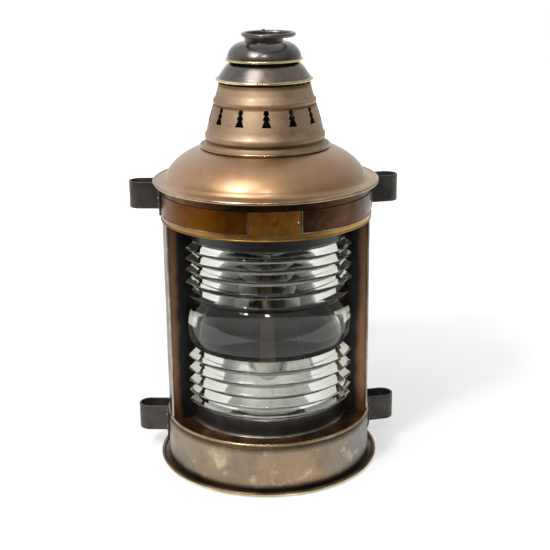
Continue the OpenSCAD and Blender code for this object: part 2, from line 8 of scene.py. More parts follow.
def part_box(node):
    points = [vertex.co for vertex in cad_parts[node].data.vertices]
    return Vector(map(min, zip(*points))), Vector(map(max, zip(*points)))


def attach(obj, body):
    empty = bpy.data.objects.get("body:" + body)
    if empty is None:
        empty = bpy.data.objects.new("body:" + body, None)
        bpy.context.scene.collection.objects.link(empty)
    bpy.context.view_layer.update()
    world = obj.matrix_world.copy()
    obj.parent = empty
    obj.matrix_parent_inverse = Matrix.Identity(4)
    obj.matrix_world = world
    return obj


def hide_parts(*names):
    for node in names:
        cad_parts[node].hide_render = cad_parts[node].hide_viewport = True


# Looks for a ship's stern lantern. Lengths are metres; MM turns the millimetre sizes below into them.
# Azimuth is in degrees from the front (-Y) towards +X.

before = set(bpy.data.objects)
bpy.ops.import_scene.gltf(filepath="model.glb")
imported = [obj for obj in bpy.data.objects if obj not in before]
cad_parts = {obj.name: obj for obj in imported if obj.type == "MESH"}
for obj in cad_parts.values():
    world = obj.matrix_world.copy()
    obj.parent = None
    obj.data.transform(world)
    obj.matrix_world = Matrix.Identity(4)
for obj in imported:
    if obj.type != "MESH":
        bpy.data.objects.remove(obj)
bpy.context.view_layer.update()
MM = 0.001

OPENING_HALF = 75  # half of the casing's front opening
LENS_HALF = 67.5  # half of the glass's turn
PLATE_NEAR, PLATE_FAR = 13.6, 76.0  # inner and outer ends of the band plates
LOOP_TURN = 8  # how far the guide loops stand behind the lantern's side
COLLAR_INNER_R = 87 * MM
CASING_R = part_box("casing_shell")[1].y


# ---- Geometry helpers ----


def polar(radius, azimuth):
    """The (x, y) of a point at a radius and azimuth."""
    angle = math.radians(azimuth)
    return radius * math.sin(angle), -radius * math.cos(angle)


def aside(point):
    """How far a point is from the front, in degrees to either side."""
    return abs(math.degrees(math.atan2(point.x, -point.y)))


def arc(centre, radii, start, end, steps):
    """Points of an elliptical arc in the (radius, height) plane, angles in degrees."""
    points = []
    for i in range(steps + 1):
        angle = math.radians(start + (end - start) * i / steps)
        points.append((centre[0] + radii[0] * math.cos(angle), centre[1] + radii[1] * math.sin(angle)))
    return points


def inset(path, depth):
    """The path moved sideways by depth, towards the axis for a path that climbs inwards."""
    moved = []
    last = len(path) - 1
    for i, point in enumerate(path):
        ahead = Vector(path[min(i + 1, last)])
        along = (ahead - Vector(path[max(i - 1, 0)])).normalized()
        moved.append((point[0] - along.y * depth, point[1] + along.x * depth))
    return moved


def shell(path, depth):
    """The closed outline of a sheet whose outer face is the path."""
    return path + inset(path, depth)[::-1]


def smooth_path(points, per_span):
    """Catmull-Rom points through an outline's shape points."""
    result = []
    ends = [points[0]] + points + [points[-1]]
    for i in range(1, len(ends) - 2):
        a, b, c, d = (Vector(p) for p in ends[i - 1:i + 3])
        for j in range(per_span):
            t = j / per_span
            square = (2 * a - 5 * b + 4 * c - d) * t**2
            cube = (3 * b - a - 3 * c + d) * t**3
            p = 0.5 * (2 * b + (c - a) * t + square + cube)
            result.append((p.x, p.y))
    return result + [tuple(points[-1])]


def spin(bm, outline, start=-180.0, end=180.0, step=2.0, centre=(0.0, 0.0)):
    """Turns a closed outline about a vertical axis: a closed solid, capped where the turn isn't full."""
    full = end - start > 359.9
    spans = max(3, round((end - start) / step))
    rows = []
    for i in range(spans if full else spans + 1):
        azimuth = start + (end - start) * i / spans
        row = []
        for radius, height in outline:
            x, y = polar(radius, azimuth)
            row.append(bm.verts.new((centre[0] + x, centre[1] + y, height)))
        rows.append(row)
    count = len(outline)
    for i in range(spans):
        a, b = rows[i], rows[(i + 1) % len(rows)]
        for j in range(count):
            k = (j + 1) % count
            bm.faces.new((a[j], a[k], b[k], b[j]))
    if not full:
        bm.faces.new(rows[0])
        bm.faces.new(rows[-1][::-1])


def curved_sheet(bm, inner_r, outer_r, azimuths, heights, hole=None):
    """A curved sheet as a closed solid over a grid, with an optional opening (azimuth and height limits)."""

    def present(i, j):
        if not (0 <= i < len(azimuths) - 1 and 0 <= j < len(heights) - 1):
            return False
        if hole is None:
            return True
        azimuth = (azimuths[i] + azimuths[i + 1]) / 2
        height = (heights[j] + heights[j + 1]) / 2
        return not (hole[0] < azimuth < hole[1] and hole[2] < height < hole[3])

    verts = {}

    def vert(i, j, radius):
        key = (i, j, radius)
        if key not in verts:
            verts[key] = bm.verts.new((*polar(radius, azimuths[i]), heights[j]))
        return verts[key]

    for i in range(len(azimuths) - 1):
        for j in range(len(heights) - 1):
            if not present(i, j):
                continue
            corners = [(i, j), (i + 1, j), (i + 1, j + 1), (i, j + 1)]
            bm.faces.new([vert(*c, outer_r) for c in corners])
            bm.faces.new([vert(*c, inner_r) for c in reversed(corners)])
            sides = [(i, j - 1), (i + 1, j), (i, j + 1), (i - 1, j)]
            for side, neighbour in enumerate(sides):
                if not present(*neighbour):
                    a, b = corners[side], corners[(side + 1) % 4]
                    near = (vert(*b, outer_r), vert(*a, outer_r))
                    far = (vert(*a, inner_r), vert(*b, inner_r))
                    bm.faces.new(near + far)


def spread(low, high, step):
    """Evenly spaced values from low to high, no further apart than step."""
    count = max(1, math.ceil((high - low) / step - 1e-6))
    return [low + (high - low) * i / count for i in range(count + 1)]


DENT_SIZE = 0.28 * MM
DENT_SPACING = 55 * MM


def dent(bm):
    """Shallow hand-worked unevenness. One field in space, so neighbouring sheets move together."""
    for vert in bm.verts:
        radial = Vector((vert.co.x, vert.co.y, 0))
        if radial.length > 1 * MM:
            vert.co += radial.normalized() * DENT_SIZE * noise.noise(vert.co / DENT_SPACING)


def make_piece(name, bm, body, nodes, materials, paint=(), crease=35):
    """Turns the bmesh into a piece that rides a body; paint is pairs of a material's index and a test."""
    bmesh.ops.remove_doubles(bm, verts=bm.verts, dist=1e-6)
    bmesh.ops.recalc_face_normals(bm, faces=bm.faces)
    for face in bm.faces:
        centre = face.calc_center_median()
        for index, test in paint:
            if test(centre):
                face.material_index = index
    mesh = bpy.data.meshes.new(name)
    bm.to_mesh(mesh)
    bm.free()
    for material in materials:
        mesh.materials.append(material)
    mesh.shade_smooth()
    mesh.set_sharp_from_angle(angle=math.radians(crease))
    piece = bpy.data.objects.new(name, mesh)
    bpy.context.scene.collection.objects.link(piece)
    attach(piece, body)
    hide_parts(*nodes)
    return piece


def bevel(piece, width, segments=2, angle=40):
    """Rounds a piece's hard edges."""
    modifier = piece.modifiers.new("edges", "BEVEL")
    modifier.width = width
    modifier.segments = segments
    modifier.limit_method = "ANGLE"
    modifier.angle_limit = math.radians(angle)
    modifier.harden_normals = False
    return piece


# ---- Materials ----


def add(tree, kind, inputs=None, **settings):
    """A new node, with its inputs set to values or linked to other nodes' outputs."""
    made = tree.nodes.new("ShaderNode" + kind)
    for key, value in settings.items():
        setattr(made, key, value)
    for key, value in (inputs or {}).items():
        if isinstance(value, bpy.types.NodeSocket):
            tree.links.new(value, made.inputs[key])
        else:
            made.inputs[key].default_value = value
    return made


def clouds(tree, scale, detail=5.0, stretch=(1, 1, 1), shift=0.0):
    """Noise in the object's own space; a larger stretch squeezes the pattern along that axis."""
    place = add(tree, "TexCoord").outputs["Object"]
    mapped = add(tree, "Mapping", {"Vector": place, "Scale": stretch, "Location": (shift, shift, shift)})
    inputs = {"Vector": mapped.outputs["Vector"], "Scale": scale, "Detail": detail, "Roughness": 0.6}
    return add(tree, "TexNoise", inputs).outputs["Fac"]


def ramp(tree, factor, stops):
    """A colour ramp through (position, colour) stops; a plain number stands for a grey."""
    made = add(tree, "ValToRGB", {"Fac": factor})
    elements = made.color_ramp.elements
    elements[0].position = stops[0][0]
    elements[1].position = stops[-1][0]
    for position, _ in stops[1:-1]:
        elements.new(position)
    for element, (_, colour) in zip(elements, stops):
        grey = isinstance(colour, (int, float))
        element.color = (colour, colour, colour, 1) if grey else (*colour, 1)
    return made.outputs["Color"]


def mix(tree, factor, first, second):
    """Blends two colours, each a node output or a plain colour."""
    made = add(tree, "Mix", data_type="RGBA")
    for index, value in ((0, factor), (6, first), (7, second)):
        if isinstance(value, bpy.types.NodeSocket):
            tree.links.new(value, made.inputs[index])
        else:
            made.inputs[index].default_value = value if index == 0 else (*value, 1)
    return made.outputs[2]


def radius_of(tree):
    """Distance from the lantern's axis."""
    split = add(tree, "SeparateXYZ", {"Vector": add(tree, "TexCoord").outputs["Object"]})
    flat = add(tree, "CombineXYZ", {"X": split.outputs["X"], "Y": split.outputs["Y"]})
    return add(tree, "VectorMath", {0: flat.outputs["Vector"]}, operation="LENGTH").outputs["Value"]


def coordinate(tree, axis):
    """One coordinate of the shaded point."""
    split = add(tree, "SeparateXYZ", {"Vector": add(tree, "TexCoord").outputs["Object"]})
    return split.outputs[axis]


def remap(tree, value, low, high, to_low=0.0, to_high=1.0):
    """Maps low..high to to_low..to_high, held at both ends."""
    inputs = {"Value": value, "From Min": low, "From Max": high, "To Min": to_low, "To Max": to_high}
    return add(tree, "MapRange", inputs).outputs["Result"]


def blank(name):
    """A material with its node tree and its Principled node."""
    material = bpy.data.materials.new(name)
    material.use_nodes = True
    return material, material.node_tree, material.node_tree.nodes["Principled BSDF"]


def surface_bump(tree, bsdf, height, distance, strength=1.0):
    """Feeds a height into the surface normal."""
    inputs = {"Height": height, "Distance": distance, "Strength": strength}
    tree.links.new(add(tree, "Bump", inputs).outputs["Normal"], bsdf.inputs["Normal"])


def aged_metal(name, dark, body, bright, rough=(0.25, 0.45), patch=16.0, wear=0.0, shift=0.0, spotted=0.5,
               lacquer=0.0):
    """Patinated metal: broad patches, dark spots, faint turning lines, worn edges and old lacquer."""
    material, tree, bsdf = blank(name)
    broad = clouds(tree, patch, shift=shift)
    colour = ramp(tree, broad, [(0.34, dark), (0.5, body), (0.68, bright)])
    fine = clouds(tree, patch * 9, detail=3, shift=shift)
    spots = ramp(tree, fine, [(0.33, spotted), (0.45, 0.0)])
    colour = mix(tree, spots, colour, dark)
    if wear:
        edge = add(tree, "NewGeometry").outputs["Pointiness"]
        ragged = remap(tree, fine, 0.3, 0.7, 0.6, 1.0)
        rubbed = remap(tree, edge, 0.515, 0.56, 0, wear)
        worn = add(tree, "Math", {0: rubbed, 1: ragged}, operation="MULTIPLY").outputs[0]
        colour = mix(tree, worn, colour, bright)
        # Concave creases darkened: dirt gathered there, plus painted shade.
        grime_and_crease_shade = remap(tree, edge, 0.455, 0.492, 0.75, 0.0)
        colour = mix(tree, grime_and_crease_shade, colour, dark)
    tree.links.new(colour, bsdf.inputs["Base Color"])
    bsdf.inputs["Metallic"].default_value = 1.0
    tree.links.new(remap(tree, fine, 0.3, 0.7, *rough), bsdf.inputs["Roughness"])
    bsdf.inputs["Coat Weight"].default_value = lacquer
    bsdf.inputs["Coat Roughness"].default_value = 0.22
    lines = clouds(tree, 60, detail=2, stretch=(0.15, 0.15, 9))
    grit = clouds(tree, 420, detail=2)
    height = add(tree, "Math", {0: lines, 1: grit}, operation="ADD").outputs[0]
    surface_bump(tree, bsdf, height, 0.05 * MM, 0.5)
    return material


def shade_and_grime_bands(material, bands, shade_tint):
    """Darkens a metal in bands of painted shade, with some dirt, under beads and overhangs; bands are
    (height, half width) in metres.
    """
    tree = material.node_tree
    socket = tree.nodes["Principled BSDF"].inputs["Base Color"]
    colour = socket.links[0].from_socket
    height = coordinate(tree, "Z")
    for middle, half in bands:
        offset = add(tree, "Math", {0: height, 1: middle}, operation="SUBTRACT").outputs[0]
        distance = add(tree, "Math", {0: offset}, operation="ABSOLUTE").outputs[0]
        colour = mix(tree, remap(tree, distance, 0.4 * half, half, 0.85, 0.0), colour, shade_tint)
    tree.links.new(colour, socket)


def chimney_skin():
    """Dull copper with painted shade, and some dirt, below the chimney's two beads and under the lower cowl.
    """
    skin = aged_metal("chimney_copper", (0.2, 0.125, 0.068), (0.33, 0.225, 0.135), (0.41, 0.295, 0.19),
                      rough=(0.54, 0.64), patch=12, wear=0.3, shift=2.0, spotted=0.35, lacquer=0.25)
    low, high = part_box("chimney")
    bands = [(low.z + 8.6 * MM, 2.4 * MM), (low.z + 48.4 * MM, 2.2 * MM), (high.z, 5.0 * MM)]
    # Painted shade bands under the two beads and under the lower cowl.
    shade_and_grime_bands(skin, bands, (0.13, 0.055, 0.014))
    return skin


def drum_copper():
    """Copper with a cloudy golden patina; painted light and shade make it duller at both sides, and painted
    shade darkens its corners.
    """
    material, tree, bsdf = blank("drum_copper")
    golden = ramp(tree, clouds(tree, 16, shift=3.1), [(0.36, DUST_AND_SIDE_LIGHT), (0.5, TAN), (0.64, OLD_GOLD)])
    # Painted light and shade by side: a duller tone at the left, a darker grey-brown at the right.
    across = coordinate(tree, "X")
    colour = mix(tree, remap(tree, across, 50 * MM, 100 * MM), golden, RIGHT_SIDE_SHADE)
    colour = mix(tree, remap(tree, across, -100 * MM, -60 * MM, 1.0, 0.0), colour, DUST_AND_SIDE_LIGHT)
    flecks = ramp(tree, clouds(tree, 48, detail=5, shift=1.7), [(0.56, 0.0), (0.7, 0.8)])
    colour = mix(tree, flecks, colour, PALE_GOLD)
    stains = ramp(tree, clouds(tree, 30, detail=5), [(0.36, 0.65), (0.5, 0.0)])
    colour = mix(tree, stains, colour, GREY_BROWN)
    # Painted shade under the rolled top edge and above the foot.
    height = coordinate(tree, "Z")
    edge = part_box("base_drum")[1].z
    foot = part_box("foot_ring")[1].z
    below_edge = remap(tree, height, edge - 13.2 * MM, edge - 7.2 * MM, 0.0, 0.85)
    above_foot = remap(tree, height, foot, foot + 5.5 * MM, 0.95, 0.0)
    shade = add(tree, "Math", {0: below_edge, 1: above_foot}, operation="MAXIMUM").outputs[0]
    colour = mix(tree, shade, colour, DEEP_BROWN)
    tree.links.new(colour, bsdf.inputs["Base Color"])
    bsdf.inputs["Metallic"].default_value = 0.9
    tree.links.new(remap(tree, clouds(tree, 40), 0.3, 0.7, 0.3, 0.5), bsdf.inputs["Roughness"])
    surface_bump(tree, bsdf, clouds(tree, 90, detail=4), 0.12 * MM, 0.5)
    return material


def casing_skin():
    """Aged casing copper, brown all round, with a painted grey sheen along its front left edge."""
    material, tree, bsdf = blank("casing_skin")
    patches = clouds(tree, 9, shift=8.0)
    brown = ramp(tree, patches, [(0.34, DEEP_BROWN), (0.5, CASING_BROWN), (0.68, TAN)])
    # Painted sheen: grey copies of the patches along the front left edge.
    greys = [(0.34, (0.07, 0.065, 0.06)), (0.52, (0.14, 0.13, 0.118)), (0.7, (0.24, 0.22, 0.2))]
    grey = ramp(tree, patches, greys)
    inward = remap(tree, coordinate(tree, "X"), 4 * MM - CASING_R, 25 * MM - CASING_R)
    rearward = remap(tree, coordinate(tree, "Y"), -45 * MM, -10 * MM)
    away = add(tree, "Math", {0: inward, 1: rearward}, operation="MAXIMUM").outputs[0]
    colour = mix(tree, away, grey, brown)
    fine = clouds(tree, 75, detail=3, shift=8.0)
    colour = mix(tree, ramp(tree, fine, [(0.34, 0.5), (0.45, 0.0)]), colour, DEEP_BROWN)
    tree.links.new(colour, bsdf.inputs["Base Color"])
    bsdf.inputs["Metallic"].default_value = 0.95
    tree.links.new(remap(tree, fine, 0.3, 0.7, 0.26, 0.42), bsdf.inputs["Roughness"])
    surface_bump(tree, bsdf, clouds(tree, 60, detail=2, stretch=(0.15, 0.15, 9)), 0.05 * MM, 0.5)
    return material


def tray_skin():
    """The tray: dark brown copper in front of the glass, pale tinned floor behind it."""
    material, tree, bsdf = blank("tray_skin")
    copper = ramp(tree, clouds(tree, 26, detail=4), [(0.4, DEEP_BROWN), (0.58, (0.16, 0.075, 0.035)),
                                                     (0.7, (0.42, 0.2, 0.08))])
    tin = [(0.35, (0.28, 0.27, 0.25)), (0.6, (0.5, 0.49, 0.47))]
    pale = ramp(tree, clouds(tree, 30, detail=4, shift=4.0), tin)
    inside = remap(tree, radius_of(tree), COLLAR_INNER_R - 0.2 * MM, COLLAR_INNER_R + 0.4 * MM, 1.0, 0.0)
    tree.links.new(mix(tree, inside, copper, pale), bsdf.inputs["Base Color"])
    tree.links.new(remap(tree, inside, 0, 1, 0.9, 0.0), bsdf.inputs["Metallic"])
    tree.links.new(remap(tree, clouds(tree, 50), 0.3, 0.7, 0.28, 0.5), bsdf.inputs["Roughness"])
    surface_bump(tree, bsdf, clouds(tree, 110), 0.1 * MM, 0.4)
    return material


def lamp_soot():
    """Dull black-grey soot on the inside of the casing."""
    material, tree, bsdf = blank("lamp_soot")
    soots = [(0.35, (0.01, 0.009, 0.009)), (0.65, (0.028, 0.026, 0.024))]
    colour = ramp(tree, clouds(tree, 24, detail=5), soots)
    tree.links.new(colour, bsdf.inputs["Base Color"])
    tree.links.new(remap(tree, clouds(tree, 80), 0.3, 0.7, 0.45, 0.7), bsdf.inputs["Roughness"])
    surface_bump(tree, bsdf, clouds(tree, 200, detail=4), 0.1 * MM, 0.5)
    return material


def screen_copper(shift, sooted_part):
    """The screens beside the glass: copper at the casing's edge, sooted black towards the lens."""
    material, tree, bsdf = blank("screen_copper")
    uneven = remap(tree, clouds(tree, 25, shift=shift), 0.3, 0.7, -0.0025, 0.0025)
    place = add(tree, "Math", {0: radius_of(tree), 1: uneven}, operation="ADD").outputs[0]
    stops = [(0.0, SOOT), (sooted_part, SOOT), (sooted_part + 0.25, RED_COPPER)]
    colour = ramp(tree, remap(tree, place, COLLAR_INNER_R + 5 * MM, CASING_R), stops)
    tree.links.new(colour, bsdf.inputs["Base Color"])
    bsdf.inputs["Metallic"].default_value = 0.85
    tree.links.new(remap(tree, clouds(tree, 60), 0.3, 0.7, 0.3, 0.5), bsdf.inputs["Roughness"])
    surface_bump(tree, bsdf, clouds(tree, 120), 0.1 * MM, 0.4)
    return material


def black_paint():
    """Semi-gloss black enamel with dust and brush marks."""
    material, tree, bsdf = blank("black_paint")
    dust = ramp(tree, clouds(tree, 70), [(0.45, 0.0), (0.75, 0.35)])
    colour = mix(tree, dust, (0.01, 0.009, 0.009), (0.045, 0.042, 0.04))
    tree.links.new(colour, bsdf.inputs["Base Color"])
    tree.links.new(remap(tree, clouds(tree, 160), 0.3, 0.7, 0.25, 0.45), bsdf.inputs["Roughness"])
    surface_bump(tree, bsdf, clouds(tree, 260, stretch=(1, 1, 0.2)), 0.08 * MM, 0.4)
    return material


def blackened_iron():
    """Black-brown iron strap with chipped paint and a fine pitted skin; its edges are lightened as worn
    paint and partly as a painted highlight.
    """
    material, tree, bsdf = blank("blackened_iron")
    skin = ramp(tree, clouds(tree, 40), [(0.35, (0.02, 0.018, 0.017)), (0.6, (0.05, 0.043, 0.038))])
    edge = add(tree, "NewGeometry").outputs["Pointiness"]
    ragged = remap(tree, clouds(tree, 190, detail=4), 0.42, 0.62)
    # Light edges: worn paint, and partly a painted highlight along the strap's top edge.
    worn = add(tree, "Math", {0: remap(tree, edge, 0.53, 0.62), 1: ragged}, operation="MULTIPLY").outputs[0]
    chips = ramp(tree, clouds(tree, 75, detail=5, shift=5.7), [(0.7, 0.0), (0.73, 0.8)])
    colour = mix(tree, worn, skin, (0.3, 0.28, 0.24))
    colour = mix(tree, chips, colour, (0.42, 0.4, 0.33))
    tree.links.new(colour, bsdf.inputs["Base Color"])
    bsdf.inputs["Metallic"].default_value = 0.35
    tree.links.new(remap(tree, clouds(tree, 110), 0.3, 0.7, 0.3, 0.5), bsdf.inputs["Roughness"])
    surface_bump(tree, bsdf, clouds(tree, 300, detail=3), 0.1 * MM, 0.5)
    return material


def lens_glass():
    """Thick pressed glass, rippled, with painted shade dulling it towards its sides; shadow rays pass, so
    the inside is lit.
    """
    material = bpy.data.materials.new("lens_glass")
    material.use_nodes = True
    tree = material.node_tree
    tree.nodes.remove(tree.nodes["Principled BSDF"])
    sideways = add(tree, "Math", {0: coordinate(tree, "X")}, operation="ABSOLUTE").outputs[0]
    # Painted shade: the tint darkens towards the glass's sides.
    side_shade = remap(tree, sideways, 30 * MM, 75 * MM)
    tint = mix(tree, side_shade, (0.965, 0.972, 0.955), (0.86, 0.865, 0.84))
    glass = add(tree, "BsdfGlass", {"Color": tint, "Roughness": 0.03, "IOR": 1.5})
    ripple = clouds(tree, 45, detail=2)
    bump = add(tree, "Bump", {"Height": ripple, "Distance": 0.25 * MM, "Strength": 0.35})
    tree.links.new(bump.outputs["Normal"], glass.inputs["Normal"])
    clear = add(tree, "BsdfTransparent", {"Color": (0.89, 0.9, 0.88, 1)})
    shadow = add(tree, "LightPath").outputs["Is Shadow Ray"]
    both = add(tree, "MixShader", {0: shadow, 1: glass.outputs[0], 2: clear.outputs[0]})
    tree.links.new(both.outputs[0], tree.nodes["Material Output"].inputs["Surface"])
    return material


def wick_cotton():
    """Flat woven wick."""
    material, tree, bsdf = blank("wick_cotton")
    place = add(tree, "TexCoord").outputs["Object"]
    weave = add(tree, "TexWave", {"Vector": place, "Scale": 900, "Distortion": 1.5}, bands_direction="Z")
    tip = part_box("wick")[1].z
    char = remap(tree, coordinate(tree, "Z"), tip - 8.1 * MM, tip - 1.1 * MM)
    woven = ramp(tree, weave.outputs["Fac"], [(0.2, (0.5, 0.46, 0.38)), (0.8, (0.78, 0.74, 0.64))])
    colour = mix(tree, char, woven, (0.03, 0.025, 0.02))
    tree.links.new(colour, bsdf.inputs["Base Color"])
    bsdf.inputs["Roughness"].default_value = 0.95
    surface_bump(tree, bsdf, weave.outputs["Fac"], 0.2 * MM, 0.6)
    return material


SOOT = (0.02, 0.019, 0.018)
DEEP_BROWN = (0.045, 0.028, 0.018)
RED_COPPER = (0.25, 0.125, 0.065)
CASING_BROWN = (0.17, 0.11, 0.068)
GREY_BROWN = (0.2, 0.165, 0.135)
# A dull patina tone, also used as painted light on the drum's left side.
DUST_AND_SIDE_LIGHT = (0.3, 0.235, 0.16)
# Painted shade for the drum's right side.
RIGHT_SIDE_SHADE = (0.225, 0.21, 0.195)
TAN = (0.34, 0.24, 0.145)
OLD_GOLD = (0.42, 0.3, 0.165)
PALE_GOLD = (0.62, 0.53, 0.36)

hood_copper = aged_metal("hood_copper", (0.28, 0.16, 0.075), (0.36, 0.21, 0.105), (0.44, 0.28, 0.165),
                         rough=(0.4, 0.48), patch=8, wear=0.4, spotted=0.25, lacquer=0.6)
rim_copper = aged_metal("rim_copper", (0.2, 0.125, 0.06), (0.32, 0.22, 0.115), (0.48, 0.37, 0.22),
                        rough=(0.2, 0.3), patch=26, wear=0.35, shift=1.5, spotted=0.1)
chimney_copper = chimney_skin()
# One plate metal in two copies: lit orange for the left plate, painted-shade brown for the right plate and
# for the painted shadow under the hood's rim.
plate_lit_orange = aged_metal("plate_lit_orange", (0.09, 0.028, 0.002), (0.135, 0.045, 0.003), (0.2, 0.08, 0.014),
                          rough=(0.3, 0.42), patch=11, shift=4.0, spotted=0.3)
plate_shade_brown = aged_metal("plate_shade_brown", (0.04, 0.018, 0.009), (0.085, 0.042, 0.02), (0.2, 0.13, 0.08),
                         rough=(0.25, 0.4), patch=14, shift=5.0, spotted=0.3)
gap_copper = aged_metal("gap_copper", (0.24, 0.09, 0.01), (0.36, 0.15, 0.022), (0.46, 0.22, 0.045),
                        rough=(0.3, 0.42), patch=18, shift=2.2, spotted=0.2)
# Worn metal and a painted highlight for the folds that frame the band plates.
fold_wear_and_highlight = aged_metal("fold_wear_and_highlight", (0.09, 0.065, 0.045), (0.2, 0.16, 0.12), (0.42, 0.37, 0.3),
                        rough=(0.25, 0.4), patch=30, shift=0.6, spotted=0.2)
band_copper = aged_metal("band_copper", (0.15, 0.065, 0.012), (0.26, 0.115, 0.02), (0.42, 0.26, 0.09),
                         rough=(0.28, 0.4), patch=12, wear=0.6, shift=6.0, spotted=0.3)
groove_metal = aged_metal("groove_metal", (0.035, 0.024, 0.02), (0.12, 0.085, 0.06), (0.24, 0.18, 0.13),
                          rough=(0.3, 0.45), patch=24, shift=8.0)
dark_bronze = aged_metal("dark_bronze", (0.075, 0.066, 0.062), (0.14, 0.125, 0.118), (0.27, 0.17, 0.105),
                         rough=(0.24, 0.36), patch=16, shift=1.0, spotted=0.3, lacquer=0.35)
rim_brass = aged_metal("rim_brass", (0.36, 0.29, 0.11), (0.58, 0.48, 0.22), (0.82, 0.74, 0.46),
                       rough=(0.16, 0.28), patch=30, wear=0.4, spotted=0.2)
old_brass = aged_metal("old_brass", (0.22, 0.15, 0.06), (0.42, 0.31, 0.13), (0.68, 0.56, 0.3),
                       rough=(0.2, 0.34), patch=25, wear=0.5, shift=2.5)
lamp_brass = aged_metal("lamp_brass", (0.03, 0.024, 0.018), (0.075, 0.058, 0.036), (0.16, 0.12, 0.07),
                        rough=(0.35, 0.55), patch=22, wear=0.3, shift=2.5)
fount_tin = aged_metal("fount_tin", (0.34, 0.32, 0.29), (0.55, 0.53, 0.49), (0.7, 0.68, 0.64),
                       rough=(0.35, 0.5), patch=18, wear=0.2, shift=4.4, spotted=0.2)
edge_metal = aged_metal("edge_metal", (0.25, 0.22, 0.19), (0.42, 0.38, 0.33), (0.66, 0.62, 0.55),
                        rough=(0.28, 0.42), patch=22, shift=3.5)
tinned = aged_metal("tinned", (0.3, 0.29, 0.27), (0.48, 0.47, 0.44), (0.62, 0.61, 0.57),
                    rough=(0.35, 0.55), patch=12, shift=7.0)
steel = aged_metal("steel", (0.25, 0.24, 0.23), (0.42, 0.41, 0.4), (0.6, 0.59, 0.57),
                   rough=(0.28, 0.45), patch=40)
drum_metal = drum_copper()
casing_metal = casing_skin()
tray_metal = tray_skin()
sooted = lamp_soot()
screen_left_metal = screen_copper(9.0, 0.56)
screen_right_metal = screen_copper(4.0, 0.5)
enamel = black_paint()
iron = blackened_iron()
glass = lens_glass()
cotton = wick_cotton()


# ---- Base ----


def foot_ring():
    """Flat web that ends in a rolled bead, dark above and worn to brass at its lower edge."""
    low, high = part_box("foot_ring")
    bead = 2.3 * MM
    web = 1.6 * MM
    inner = high.x - 19.3 * MM
    centre = (high.x - bead, high.z - bead)
    bm = bmesh.new()
    outline = [(inner, web), (inner, low.z)] + arc(centre, (bead, bead), -90, 200, 27)
    spin(bm, outline)
    worn = centre[1] + 0.6 * MM
    edge = centre[0]
    make_piece("foot_bead", bm, "casing", ["foot_ring"], [groove_metal, rim_brass],
               paint=[(1, lambda c: c.z < worn and c.xy.length > edge)])


def base_drum():
    """Low band with a crease and a rolled edge along the open front."""
    low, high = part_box("base_drum")
    outer = high.x
    wall = 1.2 * MM
    top = high.z - 1.7 * MM
    half = OPENING_HALF
    bm = bmesh.new()
    spin(bm, [(outer - wall, low.z), (outer, low.z), (outer, top), (outer - wall, top)])
    crease = arc((outer - 0.1 * MM, top - 4 * MM), (0.6 * MM, 0.6 * MM), 0, 330, 11)
    spin(bm, crease, -half, half)
    edge_r = 1.7 * MM
    rolled = arc((outer - 0.3 * MM, top), (edge_r, edge_r), 0, 345, 23)
    spin(bm, rolled, -half, half)
    dent(bm)
    rim = top - 1.9 * MM
    make_piece("drum_band", bm, "casing", ["base_drum"], [drum_metal, rim_copper],
               paint=[(1, lambda c: c.z > rim)])


# ---- Casing ----


def casing_shell():
    """The curved side and back sheet, open at the front and with the door opening behind."""
    low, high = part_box("casing_shell")
    outer = high.y
    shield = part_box("top_shield")[1].z
    door_low, door_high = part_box("door_lining")
    gap = 0.5 * MM
    hole = (154.0, 206.0, door_low.z - gap, door_high.z + gap)
    azimuths = spread(OPENING_HALF, hole[0], 2) + spread(hole[0], hole[1], 2)[1:]
    azimuths += spread(hole[1], 360 - OPENING_HALF, 2)[1:]
    heights = spread(low.z, hole[2], 12 * MM) + spread(hole[2], hole[3], 12 * MM)[1:]
    heights += spread(hole[3], shield, 12 * MM)[1:]
    bm = bmesh.new()
    curved_sheet(bm, outer - 1 * MM, outer, azimuths, heights, hole)
    spin(bm, [(outer - 1 * MM, shield), (outer, shield), (outer, high.z), (outer - 1 * MM, high.z)])
    dent(bm)
    inside = outer - 0.6 * MM
    make_piece("casing_sheet", bm, "casing", ["casing_shell"], [casing_metal, sooted],
               paint=[(1, lambda c: c.xy.length < inside)])


def top_band():
    """Band over the opening, with a rolled lip at its foot, a bare gap between its two plates and painted
    shadow along its top under the hood's rim.
    """
    low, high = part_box("top_band")
    plate_low, plate_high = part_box("band_plate_right")
    lip = 0.8 * MM
    outer = high.x - lip - 0.05 * MM
    centre_z = low.z + 1.1 * MM
    heights = [low.z, plate_low.z, plate_high.z, high.z]
    bm = bmesh.new()
    spin(bm, [(outer - 0.9 * MM, low.z)] + [(outer, z) for z in heights] + [(outer - 0.9 * MM, high.z)])
    spin(bm, arc((outer + 0.05 * MM, centre_z), (lip, lip), 0, 340, 17))
    dent(bm)

    # Index 2 is painted shadow: the strip above the plates, under the hood's rim.
    tests = [(1, lambda c: aside(c) < PLATE_NEAR + 0.4 and plate_low.z < c.z < plate_high.z),
             (2, lambda c: c.z > plate_high.z),
             (3, lambda c: aside(c) > PLATE_FAR)]
    skins = [band_copper, gap_copper, plate_shade_brown, casing_metal]
    make_piece("band_sheet", bm, "casing", ["top_band"], skins, paint=tests)


